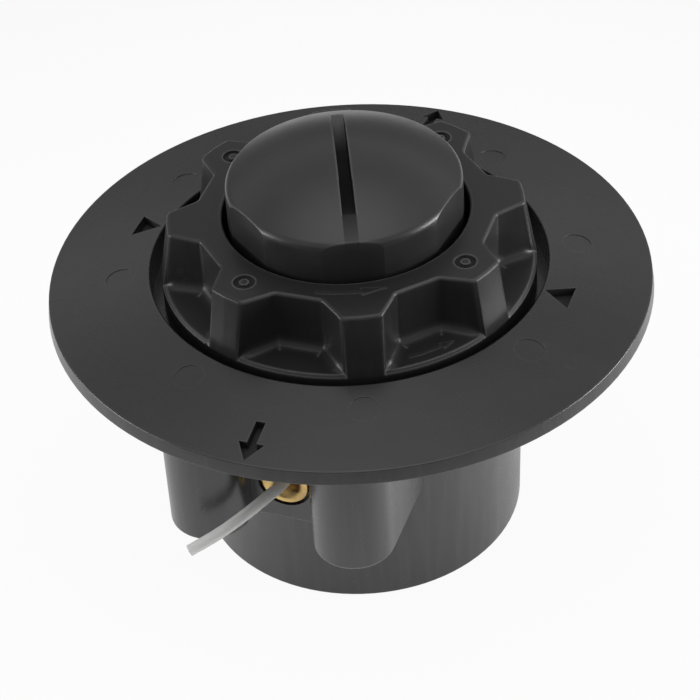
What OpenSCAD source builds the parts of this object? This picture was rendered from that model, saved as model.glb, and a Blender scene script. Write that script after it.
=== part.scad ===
// Trimmer head with a guard disc, a grip wheel for winding and a bump button.
// It stands on its machine side, with the ground side up. Z is the axis it spins about.

/* [Guard disc] */
// Diameter of the disc's upper outer edge
disc_d = 125; // [115:1:150]
// Height of the disc's upper outer edge above the machine side
disc_z = 60; // [59:0.5:66]
// Thickness of the disc
disc_t = 3; // [2:0.25:4]
// Rise of the disc from its outer edge to its opening
disc_rise = 3.6; // [2:0.2:5]
// Extra radius at the disc's lower outer edge
disc_draft = 0.4; // [0:0.1:1]
// Diameter of the opening in the disc
opening_d = 82.4; // [81:0.2:86]
// Depth of the well under the opening
well_depth = 7.1; // [6.5:0.1:8]
// Depth of the marks sunk in the disc
mark_depth = 2; // [0.4:0.1:2.4]
// Diameter of the round marks that the ejector pins leave in the disc
ejector_d = 6; // [4:0.5:7]
// Depth of those marks
ejector_depth = 0.15; // [0.05:0.05:0.4]

/* [Cup] */
// Outer diameter of the cup at the machine side
cup_d = 69.8; // [69:0.2:74]
// Extra radius of the cup under the disc
cup_draft = 1.1; // [0:0.1:2]
// Wall of the cup
cup_wall = 2.6; // [2:0.1:3.4]
// Height of the underside of the cup's floor
floor_z = 12; // [8:0.5:12]
// Thickness of the cup's floor
floor_t = 3; // [2.5:0.1:3.2]
// Diameter of the hub under the floor
hub_d = 31; // [29:0.5:36]
// Ribs between the hub and the cup's skirt
rib_n = 12; // [8:1:16]
// Thickness of a rib
rib_t = 2; // [1.5:0.1:3]
// Height of the hub and ribs above the machine side
rib_z = 1.5; // [1:0.1:3]

/* [Line outlets] */
// Height of the two line outlets
outlet_z = 38.5; // [38:0.1:39]
// Distance of the outlet's face from the axis
outlet_y = 43.7; // [42:0.1:46]
// Radius of the rounded nose of a horn
horn_r = 8.3; // [7.6:0.1:8.6]
// Distance of a horn's nose centre beside the outlet
horn_x = 15.4; // [15:0.1:17]
// Distance of a horn's nose centre from the axis
horn_y = 46.1; // [44:0.1:48]
// Height of the underside of the horns
horn_z = 28.8; // [24:0.2:31]
// Wall of a hollow horn
horn_wall = 2.4; // [2:0.1:3]
// Diameter of the eyelet's flange
eyelet_flange_d = 10.3; // [9.8:0.1:11]
// Thickness of the eyelet's flange
eyelet_flange_t = 1.2; // [0.8:0.1:1.6]
// Diameter of the eyelet's barrel
eyelet_d = 8; // [7:0.1:8.6]
// Diameter of the eyelet's throat
eyelet_throat_d = 3.4; // [3.3:0.1:4]
// Depth of the eyelet's flared mouth
eyelet_flare = 3.6; // [3:0.1:5]
// Diameter of the cutting line
line_d = 2.4; // [2:0.1:2.4]

/* [Spindle] */
// Diameter of the spindle where the spool turns
spindle_d = 14; // [13:0.2:16]
// Width across the flats of the hexagon that is sunk in the hub
spindle_hex = 22; // [20:0.5:23]
// Height of that hexagon
spindle_hex_h = 6; // [4:0.5:7]
// Width across the flats of the upper spindle
guide_hex = 11; // [10:0.1:11.4]
// Diameter of the threaded hole for the machine's shaft
shaft_d = 8.8; // [8:0.1:9.4]
// Depth of the threaded hole
shaft_depth = 18; // [14:0.5:20]

/* [Spool] */
// Gap between the spool's flanges and the cup
spool_gap = 1; // [0.8:0.1:1.4]
// Outer diameter of the drum
drum_d = 37; // [36:0.5:42]
// Inner diameter of the drum
drum_bore_d = 29; // [28.6:0.1:29.6]
// Thickness of the flanges and the divider
flange_t = 1.6; // [1.2:0.1:1.8]
// Thickness of the spool's top plate
plate_t = 1.8; // [1.4:0.1:2.2]
// Turns of line across each bay
bay_turns = 5; // [4:1:5]
// Layers of line on the drum
line_layers = 3; // [1:1:5]
// Thickness of the web that turns on the spindle
web_t = 4; // [3:0.1:5]
// Radial running clearance of the spool on the spindle
run_fit = 0.05; // [0.02:0.01:0.1]
// Axial play of the spool
end_play = 0.2; // [0.1:0.05:0.4]

/* [Grip wheel] */
// Gap between the wheel's rim and the disc's opening
rim_gap = 2.4; // [1.5:0.1:3]
// Thickness of the wheel's rim
rim_t = 2.8; // [2:0.1:3.4]
// Height of the lobes above the rim
lobe_h = 12.5; // [9:0.5:15]
// Number of lobes
lobe_n = 8; // [6:1:8]
// Diameter over the tips of the lobes
lobe_d = 73; // [70:0.2:75]
// Diameter over the corners of the notches between the lobes
notch_d = 61.6; // [60:0.2:63]
// Half the angle of a lobe's tip
lobe_tip_a = 6.3; // [4:0.1:8]
// Half the angle of a lobe's tip at its foot
lobe_foot_a = 6; // [4:0.1:8]
// Half the angle of a lobe's root
lobe_root_a = 13.5; // [12:0.1:16]
// Radius of the upright corners of the lobes' tips
lobe_corner_r = 1.5; // [0.6:0.1:2]
// Radius of the upright corners of the notches
notch_corner_r = 1.5; // [0.6:0.1:2]
// Diameter of the ring-shaped gate marks on every second lobe
gate_d = 4.4; // [3:0.1:5]
// Wall of the wheel over its hollow lobes
wheel_wall = 2.2; // [1.8:0.1:2.8]
// Angle at which the wheel stands
wheel_turn = 23.9; // [0:0.1:45]

/* [Bump button] */
// Diameter of the button
button_d = 48.2; // [46:0.2:49]
// Gap between the button and the wheel
button_gap = 1.2; // [0.8:0.1:1.6]
// Height of the button's straight wall above the wheel
button_rise = 6.5; // [6.2:0.1:9]
// Rise of the button's dome above its straight wall
dome_rise = 7.8; // [6:0.2:10]
// Radius of the round edge between wall and dome
dome_edge_r = 2; // [1:0.1:3]
// Wall of the button
button_wall = 2.2; // [1.8:0.1:2.6]
// Depth of the six flats on the button
flat_depth = 0.8; // [0.4:0.1:1.2]
// Length of the straight groove in the dome
groove_l = 35.6; // [28:0.2:38]
// Width of the groove
groove_w = 2.6; // [2:0.1:3.4]
// Depth of the groove in its middle
groove_depth = 8; // [5:0.5:9]
// Angle of the groove
button_turn = 113.2; // [90:0.1:180]
// Travel of the button towards the machine
button_travel = 6; // [4:0.5:6]

/* [Feed dog and spring] */
// Height of the feed dog's hub
dog_h = 10; // [8:0.5:11]
// Diameter of the feed dog's hub
dog_d = 21; // [20.6:0.1:21.6]
// Gap between the feed dog's wings and the drum's teeth
dog_gap = 0.3; // [0.2:0.05:0.4]
// Depth of the drum's teeth
tooth_depth = 1.8; // [1.2:0.1:2]
// Thickness of the spring's wire
wire_d = 1.4; // [1:0.1:1.5]
// Mean diameter of the spring
spring_d = 18.4; // [18.2:0.1:19]
// Turns of the spring
spring_turns = 6; // [5:1:7]

/* [Fasteners] */
// Thickness of the washers
washer_t = 1; // [0.8:0.1:1.2]
// Diameter of the lower washers
washer_d = 25; // [24:0.2:26]
// Thickness of the circlip
clip_t = 1; // [0.8:0.1:1.2]
// Diameter of the screws in the wheel
wheel_screw_d = 2.6; // [2:0.1:2.8]
// Length of those screws below the wheel
wheel_screw_l = 12; // [8:0.5:14]
// Diameter of the end screw
end_screw_d = 4.2; // [3:0.1:5]
// Length of the end screw in the spindle
end_screw_l = 14; // [8:0.5:16]
// Diameter of the end washer
end_washer_d = 16; // [14:0.2:16.4]

/* [Hidden] */

fine = 96;
mid = 48;
small = 24;
corner_steps = 3;
// How far a form reaches into the one it joins, and a cut past the face it cuts
lap = 0.5;
over = 1;

// Disc and cup
disc_r = disc_d / 2;
opening_r = opening_d / 2;
opening_z = disc_z + disc_rise;
disc_slope = disc_rise / (disc_r - opening_r);
ledge_z = opening_z - well_depth;
ledge_t = 2.5;
cup_r = cup_d / 2;
cup_in_r = cup_r - cup_wall;
cup_top_r = cup_r + cup_draft;
well_r = opening_r + cup_wall;
floor_top = floor_z + floor_t;
hub_r = hub_d / 2;

// Marks in the disc
mark_skin = 0.8;
mark_sink = min(mark_depth, disc_t - mark_skin);
arrow_at = disc_r - 6.1;
arrow_l = 9.7;
arrow_w = 5.2;
arrow_stem = 1.9;
triangle_at = disc_r - 18.1;
triangle_l = 5.6;
triangle_w = 6.8;
ejector_at = disc_r - 15.1;
ejector_n = 8;

// Line outlets
eyelet_r = eyelet_d / 2;
flange_r = eyelet_flange_d / 2;
seat_gap = 0.5;
boss_x = horn_x - horn_r + lap;
core_skin = 1;
eyelet_set = 0.3;
eyelet_in = cup_in_r + eyelet_set;
eyelet_lip = 0.5;

// Spindle and what seats on it, from the floor up
spindle_r = spindle_d / 2;
neck_step = 0.6;
neck_r = spindle_r - neck_step;
neck_end = 1;
thrust_top = floor_top + washer_t;
web_z = thrust_top + end_play;
shoulder_z = web_z + web_t + end_play;
clip_z = shoulder_z + washer_t;
neck_top = clip_z + clip_t + neck_end;
clip_seat = 0.5;
clip_wall = 2.1;
clip_groove_r = neck_r - clip_seat;
clip_r = clip_groove_r + clip_wall;
clip_mouth = 4;
hex_corner = 1 / cos(30);

// Spool
spool_r = cup_in_r - spool_gap;
drum_r = drum_d / 2;
drum_in_r = drum_bore_d / 2;
bay_h = bay_turns * line_d;
divider_z = outlet_z - flange_t / 2;
lower_bay_z = divider_z - bay_h;
upper_bay_z = divider_z + flange_t;
plate_z = upper_bay_z + bay_h;
plate_top = plate_z + plate_t;

// Ways for the line's ends in the divider
pass_a = 45;
pass_w = line_d + 0.2;
pass_l = 4;

// Feed dog, from the spindle's end down
dog_play = 0.3;
dog_sink = 1.1;
dog_plate_t = 1.5;
dog_fit = 0.15;
dog_top = plate_top - dog_sink;
spindle_top = dog_top + dog_play;
dog_z = dog_top - dog_h;
wing_r = drum_in_r - tooth_depth - dog_gap;
wing_h = 4;
wing_a = 30;
wing_turn = 20;
tooth_h = 4;
tooth_a = 24;
teeth_z = dog_top - dog_plate_t - tooth_h;
collar_h = 5;
tube_wall = 1.7;
tube_gap = 0.4;
tube_in_r = end_washer_d / 2 + tube_gap;
tube_r = tube_in_r + tube_wall;
tube_fit = 0.1;
collar_wall = 1.6;
collar_r = tube_r + tube_fit + collar_wall;
spring_seat = 0.05;

// Screws
end_head_lip = 2.5;
end_head_r = end_screw_d / 2 + end_head_lip;
end_head_h = 3;
end_fit = 0.3;
end_key = 4;
end_key_depth = 2;
screw_head_r = 2.7;
screw_head_h = 1.9;
screw_slot = 0.7;
screw_slot_l = 3.4;
screw_slot_depth = 1;

// Wheel
rim_r = opening_r - rim_gap;
rim_rise = 0.1;
rim_z = opening_z + rim_rise;
rim_edge = 0.6;
skirt_gap = 1;
rim_skirt_z = ledge_z + skirt_gap;
bore_gap = 0.3;
wheel_bore_r = drum_in_r + bore_gap;
lobe_r = lobe_d / 2;
foot_step = 0.1;
foot_sink = 1.2;
notch_r = notch_d / 2;
wheel_top = rim_z + lobe_h;
hole_r = button_d / 2 + button_gap;
wheel_floor_t = 2.5;
wheel_floor = plate_top + wheel_floor_t;
lobe_pitch = 360 / lobe_n;
screw_at = (drum_r + drum_in_r) / 2;
hollow_gap = 0.6;
hollow_a = lobe_tip_a - 1;
gate_r = gate_d / 2;
gate_pin_r = 1;
gate_depth = 0.5;
gate_at = (hole_r + lobe_r) / 2;

// Button
button_r = button_d / 2;
wall_top = wheel_top + button_rise;
button_stop = 0.5;
skirt_z = wheel_floor + button_travel + button_stop;
apex_z = wall_top + dome_rise;
flat_n = 6;
button_rib_t = 2;
button_rib_h = 8;
dome_chord = button_r - dome_edge_r;
// The dome's sphere touches the round edge, whose centre is at the wall's top.
dome_r = (pow(dome_chord, 2) + pow(dome_rise, 2) - pow(dome_edge_r, 2))
    / (2 * (dome_rise - dome_edge_r));
dome_z = apex_z - dome_r;
edge_a = atan2(wall_top - dome_z, dome_chord);
// The groove is as a round cutter on edge leaves it: its floor runs out at both ends.
groove_floor = apex_z - groove_depth;
groove_rise = dome_z + sqrt(pow(dome_r, 2) - pow(groove_l / 2, 2)) - groove_floor;
cutter_r = (pow(groove_l / 2, 2) + pow(groove_rise, 2)) / (2 * groove_rise);
groove_rib_t = groove_w + 2 * button_wall;

// Points of the cutting line, beside the outlet, from the axis and up
line_route = [
    [0.3, -32.6, 38.5], [0.35, -36, 38.5], [0.3, -39, 38.5], [0.15, -41.5, 38.5],
    [-0.25, -43.6, 38.5], [-0.85, -45.4, 38.4], [-1.8, -47.2, 38.15], [-3.2, -49.7, 37.6],
    [-4.6, -52, 37], [-6.2, -54.2, 36.3], [-8, -56.3, 35.4], [-9.9, -58.1, 34.5],
    [-12, -59.8, 33.5], [-14, -61.2, 32.5]];

// Unit vector of v
function unit(v) = v / norm(v);

// Point at radius r and angle a
function polar(r, a) = [r * cos(a), r * sin(a)];

// Points that round the corner at b, between a and c
function rounded(a, b, c, r) =
    let (u = unit(a - b), v = unit(c - b), half = acos(u * v) / 2, reach = r / tan(half),
        centre = b + unit(u + v) * r / sin(half),
        from = b + reach * u - centre, to = b + reach * v - centre)
            [for (i = [0 : corner_steps]) centre + r * unit(from * (corner_steps - i) + to * i)];

// A solid between two outlines with as many points, one above the other, that goes on past
// the upper one at the same slope
module loft(lower, z0, upper, z1) {
    n = len(lower);
    past = over / (z1 - z0);
    points = concat([for (p = lower) [p.x, p.y, z0]],
        [for (i = [0 : n - 1]) let (p = upper[i] + (upper[i] - lower[i]) * past)
            [p.x, p.y, z1 + over]]);
    walls = [for (i = [0 : n - 1]) let (j = (i + 1) % n)
        each [[i, n + i, n + j], [i, n + j, j]]];
    floor = [for (i = [0 : n - 1]) i];
    top = [for (i = [0 : n - 1]) 2 * n - 1 - i];
    polyhedron(points, concat(walls, [floor, top]));
}

// Direction of a path of points at point i
function heading(path, i) =
    unit(path[min(i + 1, len(path) - 1)] - path[max(i - 1, 0)]);

// A tube along a path: rings of points, with flat ends
module tube(path, r, sides) {
    rings = len(path);
    points = [for (i = [0 : rings - 1])
        let (d = heading(path, i), u = unit(cross(d, [0, 0, 1])), v = cross(u, d))
            for (k = [0 : sides - 1])
                path[i] + r * (cos(360 * k / sides) * u + sin(360 * k / sides) * v)];
    walls = [for (i = [0 : rings - 2], k = [0 : sides - 1])
        let (a = i * sides + k, b = i * sides + (k + 1) % sides)
            [a, a + sides, b + sides, b]];
    near = [for (k = [0 : sides - 1]) k];
    far = [for (k = [0 : sides - 1]) rings * sides - 1 - k];
    polyhedron(points, concat(walls, [near, far]));
}

// Points of an arc from angle a to angle b
function arc(x, y, r, a, b, n) =
    [for (i = [0 : n]) let (t = a + (b - a) * i / n) [x + r * cos(t), y + r * sin(t)]];

// A ring or sleeve about Z
module ring(r_out, r_in, z0, z1, n = mid) {
    translate([0, 0, z0]) difference() {
        cylinder(r = r_out, h = z1 - z0, $fn = n);
        translate([0, 0, -over]) cylinder(r = r_in, h = z1 - z0 + 2 * over, $fn = n);
    }
}

// A hexagonal bar about Z, given across its flats
module hex_bar(across, z0, z1) {
    translate([0, 0, z0]) cylinder(r = across / 2 * hex_corner, h = z1 - z0, $fn = 6);
}

// Section of disc, well and cup
module shell_section() {
    under = disc_z - disc_t + disc_slope * (disc_r - well_r);
    polygon([
        [cup_in_r, 0], [cup_r, 0], [cup_top_r, ledge_z - ledge_t],
        [well_r, ledge_z - ledge_t], [well_r, under],
        [disc_r + disc_draft, disc_z - disc_t], [disc_r, disc_z],
        [opening_r, opening_z], [opening_r, ledge_z], [cup_in_r, ledge_z],
        [cup_in_r, floor_top], [spindle_r, floor_top], [spindle_r, floor_z],
        [cup_in_r, floor_z]]);
}

// One horn beside an outlet on the -Y side, grown by g
module horn(g, z0, z1) {
    translate([horn_x, -horn_y, z0]) cylinder(r = horn_r + g, h = z1 - z0, $fn = mid);
    translate([horn_x - horn_r - g, -horn_y, z0])
        cube([2 * (horn_r + g), horn_y - drum_r, z1 - z0]);
}

// The two horns and the boss of one outlet, up into the disc
module outlet_block() {
    top = disc_z - disc_t / 2;
    intersection() {
        union() {
            for (s = [0, 1]) mirror([s, 0, 0]) horn(0, horn_z, top + disc_rise);
            translate([-boss_x, -outlet_y, horn_z])
                cube([2 * boss_x, outlet_y - drum_r, top + disc_rise - horn_z]);
        }
        rotate_extrude($fn = fine) polygon([
            [cup_in_r, horn_z], [disc_r - over, horn_z], [disc_r - over, top],
            [opening_r, top + disc_slope * (disc_r - opening_r)], [opening_r, ledge_z],
            [cup_in_r, ledge_z - ledge_t / 2]]);
    }
}

// The hollows that core the horns from below
module horn_cores() {
    for (s = [0, 1]) mirror([s, 0, 0]) intersection() {
        horn(-horn_wall, horn_z - over, ledge_z - ledge_t - core_skin);
        ring(disc_r, cup_top_r + core_skin, horn_z - over, ledge_z);
    }
}

// A mark sunk in the disc's sloping top, drawn along +X with its middle at radius r
module disc_mark(r, turn, depth = mark_sink) {
    rotate([0, 0, turn])
        translate([r, 0, disc_z + disc_slope * (disc_r - r) - depth])
            rotate([0, atan(disc_slope), 0])
                linear_extrude(height = depth + over) children();
}

// Arrow that points outwards
module arrow_shape() {
    tip = arrow_l / 2;
    neck = tip - arrow_w * 5 / 6;
    polygon([
        [-tip, -arrow_stem / 2], [neck, -arrow_stem / 2], [neck, -arrow_w / 2], [tip, 0],
        [neck, arrow_w / 2], [neck, arrow_stem / 2], [-tip, arrow_stem / 2]]);
}

// Triangle that points inwards
module triangle_shape() {
    polygon([
        [-triangle_l / 2, 0], [triangle_l / 2, -triangle_w / 2],
        [triangle_l / 2, triangle_w / 2]]);
}

module housing() {
    color("#2b2c2e") difference() {
        union() {
            rotate_extrude($fn = fine) shell_section();
            ring(hub_r, spindle_r, rib_z, floor_z + lap);
            for (i = [0 : rib_n - 1]) rotate([0, 0, 360 * (i + 0.5) / rib_n])
                translate([hub_r - lap, -rib_t / 2, rib_z])
                    cube([cup_in_r - hub_r + 2 * lap, rib_t, floor_z - rib_z + lap]);
            for (s = [0, 1]) mirror([0, s, 0]) outlet_block();
        }
        for (s = [0, 1]) mirror([0, s, 0]) {
            horn_cores();
            translate([0, -outlet_y - over, outlet_z]) rotate([-90, 0, 0]) {
                cylinder(r = eyelet_r, h = outlet_y, $fn = mid);
                cylinder(r = flange_r + seat_gap, h = over + eyelet_flange_t, $fn = mid);
            }
        }
        hex_bar(spindle_hex, rib_z - over, rib_z + spindle_hex_h);
        for (a = [90, 270]) disc_mark(arrow_at, a) arrow_shape();
        for (a = [0, 180]) disc_mark(triangle_at, a) triangle_shape();
        for (i = [0 : ejector_n - 1])
            disc_mark(ejector_at, 360 * (i + 0.5) / ejector_n, ejector_depth)
                circle(d = ejector_d, $fn = small);
    }
}

module spindle() {
    color("#9a9da1") difference() {
        union() {
            hex_bar(spindle_hex, rib_z, rib_z + spindle_hex_h);
            translate([0, 0, rib_z]) cylinder(r = spindle_r, h = shoulder_z - rib_z, $fn = mid);
            translate([0, 0, rib_z]) cylinder(r = neck_r, h = neck_top - rib_z, $fn = mid);
            hex_bar(guide_hex, neck_top - over, spindle_top);
        }
        translate([0, 0, rib_z - over])
            cylinder(d = shaft_d, h = shaft_depth + over, $fn = mid);
        translate([0, 0, spindle_top + washer_t - end_screw_l])
            cylinder(d = end_screw_d, h = end_screw_l, $fn = mid);
        ring(neck_r + over, clip_groove_r, clip_z, clip_z + clip_t);
    }
}

// Eyelet for the -Y outlet: barrel, flange and flared mouth
module eyelet() {
    seat = outlet_y - eyelet_flange_t;
    throat = eyelet_throat_d / 2;
    lip_r = flange_r - eyelet_lip;
    flare_r = lip_r - throat;
    translate([0, 0, outlet_z]) rotate([90, 0, 0])
        rotate_extrude($fn = mid) polygon(concat(
            [[throat, eyelet_in], [eyelet_r, eyelet_in], [eyelet_r, seat], [flange_r, seat]],
            arc(lip_r, outlet_y - eyelet_lip, eyelet_lip, 0, 90, 4),
            [for (i = [1 : 8]) let (t = 90 * i / 8)
                [lip_r - flare_r * sin(t), outlet_y - eyelet_flare * (1 - cos(t))]]));
}

module front_eyelet() {
    color("#c9a24a") eyelet();
}

module rear_eyelet() {
    color("#c9a24a") mirror([0, 1, 0]) eyelet();
}

module line_end() {
    color("#e8e8e4") tube(line_route, line_d / 2, 8);
}

module thrust_washer() {
    color("#b9bcc0") ring(washer_d / 2, spindle_r + run_fit, floor_top, thrust_top);
}

// Teeth that point inwards in the drum, with their first at angle a
module drum_teeth(z0, a) {
    for (i = [0 : 3]) rotate([0, 0, a + 90 * i]) translate([0, 0, z0])
        rotate_extrude(angle = tooth_a, $fn = fine)
            translate([drum_in_r - tooth_depth, 0]) square([tooth_depth + lap, tooth_h]);
}

module spool() {
    color("#3a3b3d") difference() {
        union() {
            rotate_extrude($fn = fine) polygon([
                [spindle_r + run_fit, web_z], [drum_r, web_z], [drum_r, lower_bay_z - flange_t],
                [spool_r, lower_bay_z - flange_t], [spool_r, lower_bay_z], [drum_r, lower_bay_z],
                [drum_r, divider_z], [spool_r, divider_z], [spool_r, upper_bay_z],
                [drum_r, upper_bay_z], [drum_r, plate_z], [spool_r, plate_z],
                [spool_r, plate_top], [drum_in_r, plate_top], [drum_in_r, web_z + web_t],
                [spindle_r + run_fit, web_z + web_t]]);
            drum_teeth(teeth_z, 0);
            drum_teeth(teeth_z - button_travel, 45);
        }
        for (i = [0 : 1]) rotate([0, 0, pass_a + 180 * i])
            translate([spool_r - pass_l, -pass_w / 2, divider_z - over])
                cube([pass_l + over, pass_w, flange_t + 2 * over]);
        for (i = [0 : 3]) rotate([0, 0, wheel_turn + 90 * i])
            translate([screw_at, 0, plate_top - wheel_screw_l])
                cylinder(d = wheel_screw_d, h = wheel_screw_l + over, $fn = small);
    }
}

// Line wound in one bay: its outside shows the turns
module winding(z0) {
    r = line_d / 2;
    outer = drum_r + line_layers * line_d - r;
    rotate_extrude($fn = fine) polygon(concat(
        [[drum_r, z0 + bay_h], [drum_r, z0]],
        [for (i = [0 : bay_turns - 1]) each
            [for (j = [0 : 5]) let (t = -90 + 180 * j / 6)
                [outer + r * cos(t), z0 + (i + 0.5) * line_d + r * sin(t)]]],
        [[outer, z0 + bay_h]]));
}

module lower_winding() {
    color("#e8e8e4") winding(lower_bay_z);
}

module upper_winding() {
    color("#e8e8e4") winding(upper_bay_z);
}

// Points of the lobes' outline: flat notches, straight flanks and rounded corners
function lobed(tip_r, tip_a) =
    [for (i = [0 : lobe_n - 1])
        let (m = i * lobe_pitch, tip = polar(tip_r, m),
            left = polar(tip_r, m - tip_a), left_root = polar(notch_r, m - lobe_root_a),
            right = polar(tip_r, m + tip_a), right_root = polar(notch_r, m + lobe_root_a),
            before = polar(notch_r, m - lobe_pitch + lobe_root_a),
            after = polar(notch_r, m + lobe_pitch - lobe_root_a))
                each concat(
                    rounded(before, left_root, left, notch_corner_r),
                    rounded(left_root, left, tip, lobe_corner_r), [tip],
                    rounded(tip, right, right_root, lobe_corner_r),
                    rounded(right, right_root, after, notch_corner_r))];

// Hollow of one lobe, on +X
module lobe_hollow() {
    inner = hole_r + wheel_wall + hollow_gap;
    translate([0, 0, rim_z - rim_t - over])
        linear_extrude(height = lobe_h - wheel_wall + rim_t + over)
            polygon(concat(
                [[inner * cos(hollow_a), -inner * sin(hollow_a)]],
                arc(0, 0, lobe_r - wheel_wall, -hollow_a, hollow_a, 4),
                [[inner * cos(hollow_a), inner * sin(hollow_a)]]));
}

module grip_wheel() {
    sleeve_r = hole_r + wheel_wall;
    color("#2b2c2e") rotate([0, 0, wheel_turn]) difference() {
        union() {
            rotate_extrude($fn = fine) polygon([
                [wheel_bore_r, plate_top], [sleeve_r, plate_top],
                [sleeve_r, rim_z - rim_t], [rim_r - wheel_wall, rim_z - rim_t],
                [rim_r - wheel_wall, rim_skirt_z], [rim_r, rim_skirt_z],
                [rim_r, rim_z - rim_edge], [rim_r - rim_edge, rim_z], [hole_r - lap, rim_z],
                [hole_r - lap, wheel_floor], [wheel_bore_r, wheel_floor]]);
            loft(lobed(rim_r - foot_step, lobe_foot_a), rim_z - foot_sink,
                lobed(lobe_r, lobe_tip_a), wheel_top);
        }
        translate([0, 0, wheel_top]) cylinder(r = rim_r, h = 2 * over, $fn = fine);
        translate([0, 0, wheel_floor]) cylinder(r = hole_r, h = wheel_top, $fn = fine);
        translate([0, 0, plate_top - over])
            cylinder(r = wheel_bore_r, h = wheel_top - plate_top, $fn = fine);
        for (i = [0 : lobe_n - 1]) rotate([0, 0, i * lobe_pitch]) {
            lobe_hollow();
            if (i % 2 == 1) translate([gate_at, 0, 0])
                ring(gate_r, gate_pin_r, wheel_top - gate_depth, wheel_top + over, small);
        }
        for (i = [0 : 3]) rotate([0, 0, 90 * i]) translate([screw_at, 0, plate_top - over])
            cylinder(d = wheel_screw_d, h = wheel_floor_t + 2 * over, $fn = small);
    }
}

// One of the screws that hold the wheel on the spool
module wheel_screw(i) {
    color("#8d9094") rotate([0, 0, wheel_turn + 90 * i]) translate([screw_at, 0, wheel_floor])
        difference() {
            union() {
                cylinder(r = screw_head_r, h = screw_head_h, $fn = small);
                translate([0, 0, -wheel_screw_l])
                    cylinder(d = wheel_screw_d, h = wheel_screw_l + lap, $fn = small);
            }
            for (a = [0, 90]) rotate([0, 0, a])
                translate([-screw_slot_l / 2, -screw_slot / 2, screw_head_h - screw_slot_depth])
                    cube([screw_slot_l, screw_slot, screw_slot_depth + over]);
        }
}

module wheel_screw_1() {
    wheel_screw(0);
}

module wheel_screw_2() {
    wheel_screw(1);
}

module wheel_screw_3() {
    wheel_screw(2);
}

module wheel_screw_4() {
    wheel_screw(3);
}

module spool_washer() {
    color("#b9bcc0") ring(washer_d / 2, neck_r + run_fit, shoulder_z, clip_z);
}

module spool_circlip() {
    color("#6f7276") difference() {
        ring(clip_r, clip_groove_r, clip_z, clip_z + clip_t);
        translate([0, -clip_mouth / 2, clip_z - over])
            cube([clip_r + over, clip_mouth, clip_t + 2 * over]);
    }
}

// Height of the spring's wire after t turns: the first and last turns lie close
function coil_z(t, h, close) =
    t < 1 ? close * t
    : t < spring_turns - 1 ? close + (h - 2 * close) * (t - 1) / (spring_turns - 2)
    : h - close * (spring_turns - t);

module feed_spring() {
    steps = 16;
    z0 = clip_z + wire_d / 2 + spring_seat;
    h = dog_z - clip_z - wire_d - 2 * spring_seat;
    close = wire_d + 2 * spring_seat;
    path = [for (i = [0 : spring_turns * steps]) let (a = 360 * i / steps)
        [spring_d / 2 * cos(a), spring_d / 2 * sin(a), z0 + coil_z(i / steps, h, close)]];
    color("#7d8085") tube(path, wire_d / 2, 6);
}

module feed_dog() {
    color("#c8cacc") difference() {
        union() {
            ring(dog_d / 2, guide_hex / 2 - lap, dog_z, dog_top);
            ring(collar_r, tube_r + tube_fit, dog_top - lap, dog_top + collar_h);
            translate([0, 0, dog_top - dog_plate_t])
                cylinder(r = collar_r, h = dog_plate_t, $fn = mid);
            for (i = [0 : 3]) rotate([0, 0, wing_turn + 90 * i])
                translate([0, 0, dog_top - dog_plate_t - wing_h])
                    rotate_extrude(angle = wing_a, $fn = fine)
                        translate([dog_d / 2 - lap, 0])
                            square([wing_r - dog_d / 2 + lap, wing_h]);
        }
        hex_bar(guide_hex + 2 * dog_fit, dog_z - over, dog_top + over);
    }
}

module end_washer() {
    color("#b9bcc0")
        ring(end_washer_d / 2, end_screw_d / 2 + end_fit, spindle_top, spindle_top + washer_t);
}

module end_screw() {
    head_z = spindle_top + washer_t;
    color("#8d9094") difference() {
        union() {
            translate([0, 0, head_z]) cylinder(r = end_head_r, h = end_head_h, $fn = mid);
            translate([0, 0, head_z - end_screw_l])
                cylinder(d = end_screw_d, h = end_screw_l + lap, $fn = mid);
        }
        hex_bar(end_key, head_z + end_head_h - end_key_depth, head_z + end_head_h + over);
    }
}

// Half section of the button's outside, shrunk by g, which ends in a sharp edge inside
module button_section(g, z0) {
    r = button_r - g;
    top_r = dome_r - g;
    start_a = g < dome_edge_r ? edge_a : acos(r / top_r);
    edge = g < dome_edge_r ? arc(dome_chord, wall_top, dome_edge_r - g, 0, edge_a, 6)
        : [[r, dome_z + top_r * sin(start_a)]];
    polygon(concat(
        [[0, z0], [r, z0]], edge,
        [for (i = [1 : 12]) let (t = start_a + (90 - start_a) * i / 12)
            [top_r * cos(t), dome_z + top_r * sin(t)]]));
}

module bump_button() {
    flat_at = button_r - flat_depth;
    color("#2b2c2e") rotate([0, 0, button_turn]) difference() {
        union() {
            difference() {
                rotate_extrude($fn = fine) button_section(0, skirt_z);
                rotate_extrude($fn = fine) button_section(button_wall, skirt_z - over);
            }
            ring(tube_r, tube_in_r, dog_top, apex_z - button_wall);
            intersection() {
                rotate_extrude($fn = fine) button_section(button_wall - lap, skirt_z);
                union() {
                    for (i = [0 : flat_n - 1]) rotate([0, 0, 360 * (i + 0.5) / flat_n])
                        translate([tube_r - lap, -button_rib_t / 2, wall_top - button_rib_h])
                            cube([button_r - tube_r, button_rib_t, button_rib_h + dome_rise]);
                    translate([-groove_l / 2, -groove_rib_t / 2, groove_floor - button_wall])
                        cube([groove_l, groove_rib_t, groove_depth + button_wall]);
                }
            }
        }
        for (i = [0 : flat_n - 1]) rotate([0, 0, 360 * i / flat_n])
            translate([flat_at, -button_r, skirt_z - over])
                cube([flat_depth + over, button_d, apex_z - skirt_z]);
        translate([0, groove_w / 2, groove_floor + cutter_r]) rotate([90, 0, 0])
            cylinder(r = cutter_r, h = groove_w, $fn = fine);
    }
}

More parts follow.
